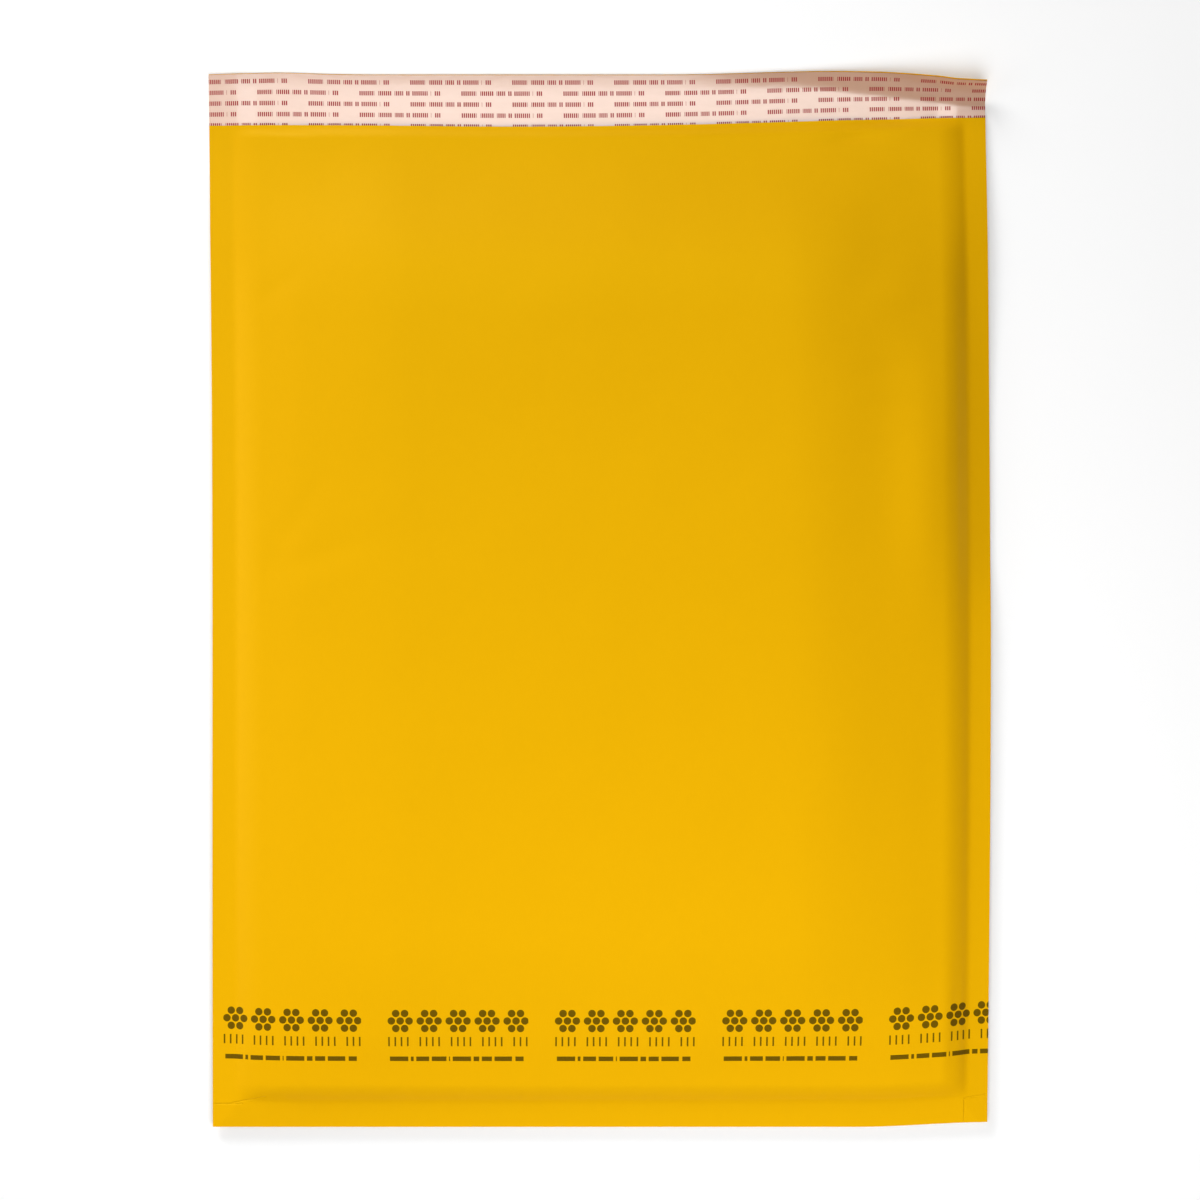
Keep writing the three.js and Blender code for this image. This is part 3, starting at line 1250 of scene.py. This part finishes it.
@dataclass
class PaperWeb:
    """The two webs of kraft paper, and the linings of bubble film inside them.

    Attributes:
        envelope: The form that they are laid in.
        kraft, film: Their finishes.
        paper_step, back_step, film_step: Steps between bends over the body.
        lining_inset: How far short of the mouth the linings stop.
        bubble_width, bubble_pitch: Size and spacing of bubbles.
        bubble_sides: How many sides a bubble has.
        bubble_profile: Its outline, as shares of its radius and its rise.
        film_slack: How much lower the front film lies than the paper needs.
        weld: Points nearer than this are joined.
    """

    envelope: Envelope
    kraft: Kraft = field(default_factory=Kraft)
    film: BubbleFilm = field(default_factory=BubbleFilm)
    paper_step: float = 3 * MM
    back_step: float = 4 * MM
    film_step: float = 6 * MM
    lining_inset: float = 4 * MM
    bubble_width: float = 9.8 * MM
    bubble_pitch: float = 11.4 * MM
    bubble_sides: int = 12
    bubble_profile: tuple[tuple[float, float], ...] = ((0, 0), (1, 0), (0.93, 0.62), (0.62, 0.92), (0, 1))
    film_slack: float = 1.1 * MM
    weld: float = 0.01 * MM

    def front(self) -> bpy.types.Object:
        """Make the front paper, printed near its bottom.

        Returns:
            The front paper.
        """
        env = self.envelope
        form = env.form
        across = env.across_stations(self.paper_step)
        along = env.along_stations(form.front_length, self.paper_step)
        bm = flat_ply(across, along, form.paper)
        env.lay(bm, self.front_under, Side.UP)
        piece = finish_piece("front_paper", bm, self.kraft.material("printed_kraft", WallPrint()))
        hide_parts("front_sheet")
        return piece

    def front_under(self, across: float, along: float) -> float:
        """Height of the front paper's underside.

        Args:
            across: Flat distance from the left edge.
            along: Flat distance from the bottom edge.

        Returns:
            The height above the table.
        """
        env = self.envelope
        tip = ease(along - env.form.front_length + env.tip_run, env.tip_run)
        dropped = env.tip_drop * tip * env.rise_share(across, along)
        return env.front_under(across, along) + env.front_relief(across, along) - dropped

    def front_film_top(self, across: float, along: float) -> float:
        """Height of the front film's paper side, slack enough to clear the paper's relief.

        Args:
            across: Flat distance from the left edge.
            along: Flat distance from the bottom edge.

        Returns:
            The height above the table.
        """
        env = self.envelope
        form = env.form
        slack = self.film_slack * env.rise_share(across, along)
        hollow = env.relief.hollow(across, along) * env.rise_share(across, along)
        return env.front_under(across, along) - form.ply_gap - slack - hollow

    def back(self) -> bpy.types.Object:
        """Make the back paper with its lip.

        Returns:
            The back paper.
        """
        env = self.envelope
        form = env.form
        across = env.across_stations(self.paper_step)
        along = env.along_stations(form.back_length, self.back_step)
        bm = flat_ply(across, along, form.paper)
        env.lay(bm, env.back_under, Side.UP)
        piece = finish_piece("back_paper", bm, self.kraft.material("plain_kraft"))
        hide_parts("back_sheet")
        return piece

    def lining(self, name: str, node: str, surface: Height, side: Side) -> bpy.types.Object:
        """Make one lining: a film with bubbles all over it.

        Args:
            name: Name of the piece.
            node: The node that it stands for.
            surface: Height of its paper side.
            side: Which way its bubbles point.

        Returns:
            The lining.
        """
        env = self.envelope
        form = env.form
        end = form.front_length - self.lining_inset
        bm = flat_ply(env.across_stations(self.film_step), env.along_stations(end, self.film_step), form.film)
        self._add_bubbles(bm, end)
        env.lay(bm, surface, side, bubbles=True)
        piece = finish_piece(name, bm, self.film.material(name + "_clear"))
        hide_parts(node)
        return piece

    def _add_bubbles(self, bm: bmesh.types.BMesh, end: float) -> None:
        """Stand staggered rows of closed bubbles on a flat film, from its mouth end down.

        Args:
            bm: The flat film.
            end: Where along the web it ends.
        """
        form = self.envelope.form
        row_pitch = self.bubble_pitch * math.sqrt(3) / 2
        inset = form.side_seal + form.shoulder
        most = math.floor((form.width - 2 * inset) / self.bubble_pitch)
        rows = math.floor((end - form.bottom_seal - form.shoulder / 2) / row_pitch)
        for stagger in (0, 1):
            first = form.width / 2 - (most - stagger - 1) / 2 * self.bubble_pitch
            middle = Vector((first, end - (stagger + 0.5) * row_pitch, form.film))
            staggered = bmesh.new()
            self._spin_bubble(staggered, middle)
            self._repeat(staggered, most - stagger, Vector((self.bubble_pitch, 0, 0)))
            self._repeat(staggered, (rows - stagger + 1) // 2, Vector((0, -2 * row_pitch, 0)))
            carrier = bpy.data.meshes.new("staggered_bubbles")
            staggered.to_mesh(carrier)
            staggered.free()
            bm.from_mesh(carrier)
            bpy.data.meshes.remove(carrier)

    def _spin_bubble(self, bm: bmesh.types.BMesh, middle: Vector) -> None:
        """Spin one closed bubble about its own middle.

        Args:
            bm: The mesh that it goes into.
            middle: The middle of its foot.
        """
        form = self.envelope.form
        radius = self.bubble_width / 2
        rise = form.bubble - form.film
        points = [bm.verts.new(middle + Vector((r * radius, 0, h * rise))) for r, h in self.bubble_profile]
        edges = [bm.edges.new(pair) for pair in zip(points, points[1:])]
        bmesh.ops.spin(
            bm, geom=[*points, *edges], cent=middle, axis=(0, 0, 1), angle=2 * math.pi,
            steps=self.bubble_sides, use_merge=True,
        )
        bmesh.ops.remove_doubles(bm, verts=bm.verts[:], dist=self.weld)

    def _repeat(self, bm: bmesh.types.BMesh, count: int, step: Vector) -> None:
        """Repeat all that a mesh holds.

        Args:
            bm: The mesh.
            count: How many there are in all.
            step: How far apart they stand.
        """
        first = [*bm.verts, *bm.edges, *bm.faces]
        for i in range(1, count):
            copy = bmesh.ops.duplicate(bm, geom=first)["geom"]
            verts = [item for item in copy if isinstance(item, bmesh.types.BMVert)]
            bmesh.ops.translate(bm, verts=verts, vec=step * i)


@dataclass
class SealStrip:
    """The adhesive band on the lip and the release liner that covers it.

    Attributes:
        envelope: The form that they are laid in.
        liner_tuck, liner_margin: How far the liner runs in under the front, and stops short of the lip's end.
        liner_bend, liner_step: Steps between its bends, across over the body and along.
        adhesive_start, adhesive_width: Where the band starts above the mouth, and its width.
        adhesive_bend, adhesive_step: Steps between its bends, across over the body and along.
    """

    envelope: Envelope
    liner_tuck: float = 3 * MM
    liner_margin: float = 0.3 * MM
    adhesive_start: float = 3 * MM
    adhesive_width: float = 16 * MM
    liner_bend: float = 2 * MM
    liner_step: float = 0.6 * MM
    adhesive_bend: float = 3 * MM
    adhesive_step: float = 1 * MM

    def adhesive(self) -> bpy.types.Object:
        """Make the adhesive band.

        Returns:
            The band.
        """
        form = self.envelope.form
        start = form.front_length + self.adhesive_start
        along = stations((start, start + self.adhesive_width, self.adhesive_step))
        bm = flat_ply(self.envelope.across_stations(self.adhesive_bend), along, form.adhesive)
        self.envelope.lay(bm, self.envelope.adhesive_under, Side.UP)
        piece = finish_piece("adhesive_band", bm, HotMelt().material("hot_melt"))
        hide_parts("adhesive_strip")
        return piece

    def liner(self) -> bpy.types.Object:
        """Make the release liner, its lower edge tucked in under the front.

        Returns:
            The liner.
        """
        form = self.envelope.form
        start = form.front_length - self.liner_tuck
        end = form.back_length - self.liner_margin
        along = stations((start, end, self.liner_step))
        bm = flat_ply(self.envelope.across_stations(self.liner_bend), along, form.liner)
        self.envelope.lay(bm, self.envelope.liner_under, Side.UP)
        piece = finish_piece("liner_paper", bm, LinerStock().material("liner_stock"))
        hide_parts("release_liner")
        return piece


@dataclass(frozen=True)
class Lamp:
    """A soft rectangular lamp that faces the envelope.

    Attributes:
        name: Its name.
        place: Where it hangs.
        size: Its width and height.
        power: Its power in watts.
        in_sheen: Whether its mirror image shows in a sheen.
        on_matt: Whether it lights what is matt.
    """

    name: str
    place: tuple[float, float, float]
    size: tuple[float, float]
    power: float
    in_sheen: bool = True
    on_matt: bool = True

    def hang(self) -> None:
        """Put the lamp in the scene."""
        light = bpy.data.lights.new(self.name, "AREA")
        light.shape = "RECTANGLE"
        light.size, light.size_y = self.size
        light.energy = self.power
        lamp = bpy.data.objects.new(self.name, light)
        lamp.location = self.place
        lamp.rotation_euler = (-Vector(self.place)).to_track_quat("-Z", "Y").to_euler()
        lamp.visible_glossy = self.in_sheen
        lamp.visible_diffuse = self.on_matt
        bpy.context.scene.collection.objects.link(lamp)


@dataclass
class Studio:
    """The pale floor, the lamps and the camera straight above.

    Attributes:
        lamps: The four lamps.
        floor_size: Length of the square floor's side.
        floor_grey: How pale the floor is to the light that it throws on the envelope.
        seen_grey: How pale it is to the eye.
        glow_middle, glow_growth, glow_most: Its glow to the eye in the middle, how that grows up the
            table, and where it stops.
        world_level: Level of the even light from all round.
        camera_height: Height of the camera above the table.
        half_view, view_level: Half the width that it sees, and the height at which it sees that.
        camera_shift: How far to the right of the envelope's middle it hangs.
    """

    lamps: tuple[Lamp, ...] = (
        Lamp("back_lamp", (-0.85, 1.46, 0.62), (1.0, 0.7), 24.0),
        Lamp("left_lamp", (-0.74, 0.0, 0.3), (0.5, 0.4), 1.4),
        Lamp("low_lamp", (0.1, -0.39, 0.69), (0.8, 0.7), 6.0, in_sheen=False),
        Lamp("strip_lamp", (-0.03, 0.47, 1.2), (0.8, 0.12), 6.0, on_matt=False),
    )
    floor_size: float = 6.0
    floor_grey: float = 0.8
    seen_grey: float = 0.97
    glow_middle: float = 0.1
    glow_growth: float = 0.375
    glow_most: float = 0.2
    world_level: float = 0.06
    camera_height: float = 1.2
    half_view: float = 279.9 * MM
    view_level: float = 3.5 * MM
    camera_shift: float = 0.8 * MM

    def build(self, shift: Vector) -> None:
        """Set up everything that isn't the envelope.

        Args:
            shift: Where the envelope's middle lies in the frame.
        """
        self._floor()
        self._world()
        for lamp in self.lamps:
            lamp.hang()
        self._camera(shift)
        bpy.context.scene.view_settings.view_transform = "Standard"

    def _floor(self) -> None:
        """Lay a white floor that keeps the envelope's shadow."""
        bm = bmesh.new()
        bmesh.ops.create_grid(bm, x_segments=1, y_segments=1, size=self.floor_size / 2)
        mesh = bpy.data.meshes.new("floor")
        bm.to_mesh(mesh)
        bm.free()
        finish = Finish("floor_white", Roughness=0.9, Specular_IOR_Level=0.0)
        tree = finish.tree
        rays = tree.nodes.new("ShaderNodeLightPath")
        seen = Field(tree, rays.outputs["Is Camera Ray"]).most(Field(tree, rays.outputs["Is Glossy Ray"]))
        seen = seen.most(Field(tree, rays.outputs["Is Transmission Ray"]))
        finish.link(finish.mix(seen, (self.floor_grey,) * 3, (self.seen_grey,) * 3), "Base Color")
        finish.shader.inputs["Emission Color"].default_value = (1.0, 1.0, 1.0, 1.0)
        places = tree.nodes.new("ShaderNodeTexCoord")
        parts = tree.nodes.new("ShaderNodeSeparateXYZ")
        tree.links.new(places.outputs["Object"], parts.inputs[0])
        glow = Field(tree, parts.outputs[1]) * self.glow_growth + self.glow_middle
        finish.link(seen * glow.most(0.0).least(self.glow_most), "Emission Strength")
        mesh.materials.append(finish.material)
        floor = bpy.data.objects.new("floor", mesh)
        bpy.context.scene.collection.objects.link(floor)

    def _world(self) -> None:
        """Light everything evenly from all round."""
        world = bpy.data.worlds.new("soft_room")
        world.use_nodes = True
        background = world.node_tree.nodes["Background"]
        background.inputs["Color"].default_value = (1.0, 1.0, 1.0, 1.0)
        background.inputs["Strength"].default_value = self.world_level
        bpy.context.scene.world = world

    def _camera(self, shift: Vector) -> None:
        """Hang the camera over the envelope, looking straight down.

        Args:
            shift: Where the envelope's middle lies in the frame.
        """
        data = bpy.data.cameras.new("camera")
        data.sensor_fit = "HORIZONTAL"
        data.angle = 2 * math.atan(self.half_view / (self.camera_height - self.view_level))
        camera = bpy.data.objects.new("camera", data)
        camera.location = (shift.x + self.camera_shift, shift.y, self.camera_height)
        bpy.context.scene.collection.objects.link(camera)
        bpy.context.scene.camera = camera


def main() -> None:
    """Build the envelope piece by piece in its studio."""
    logging.basicConfig(level=logging.INFO, format="%(name)s: %(message)s")
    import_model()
    envelope = Envelope()
    walls = PaperWeb(envelope)
    strip = SealStrip(envelope)
    pieces = [
        walls.back(),
        walls.lining("back_bubble_film", "back_bubble_lining", envelope.back_lining_under, Side.UP),
        walls.lining("front_bubble_film", "front_bubble_lining", walls.front_film_top, Side.DOWN),
        walls.front(),
        strip.adhesive(),
        strip.liner(),
    ]
    for piece in pieces:
        triangles = sum(len(polygon.vertices) - 2 for polygon in piece.data.polygons)
        log.info("%s: %d triangles", piece.name, triangles)
    Studio().build(envelope.shift)


if __name__ == "__main__":
    main()
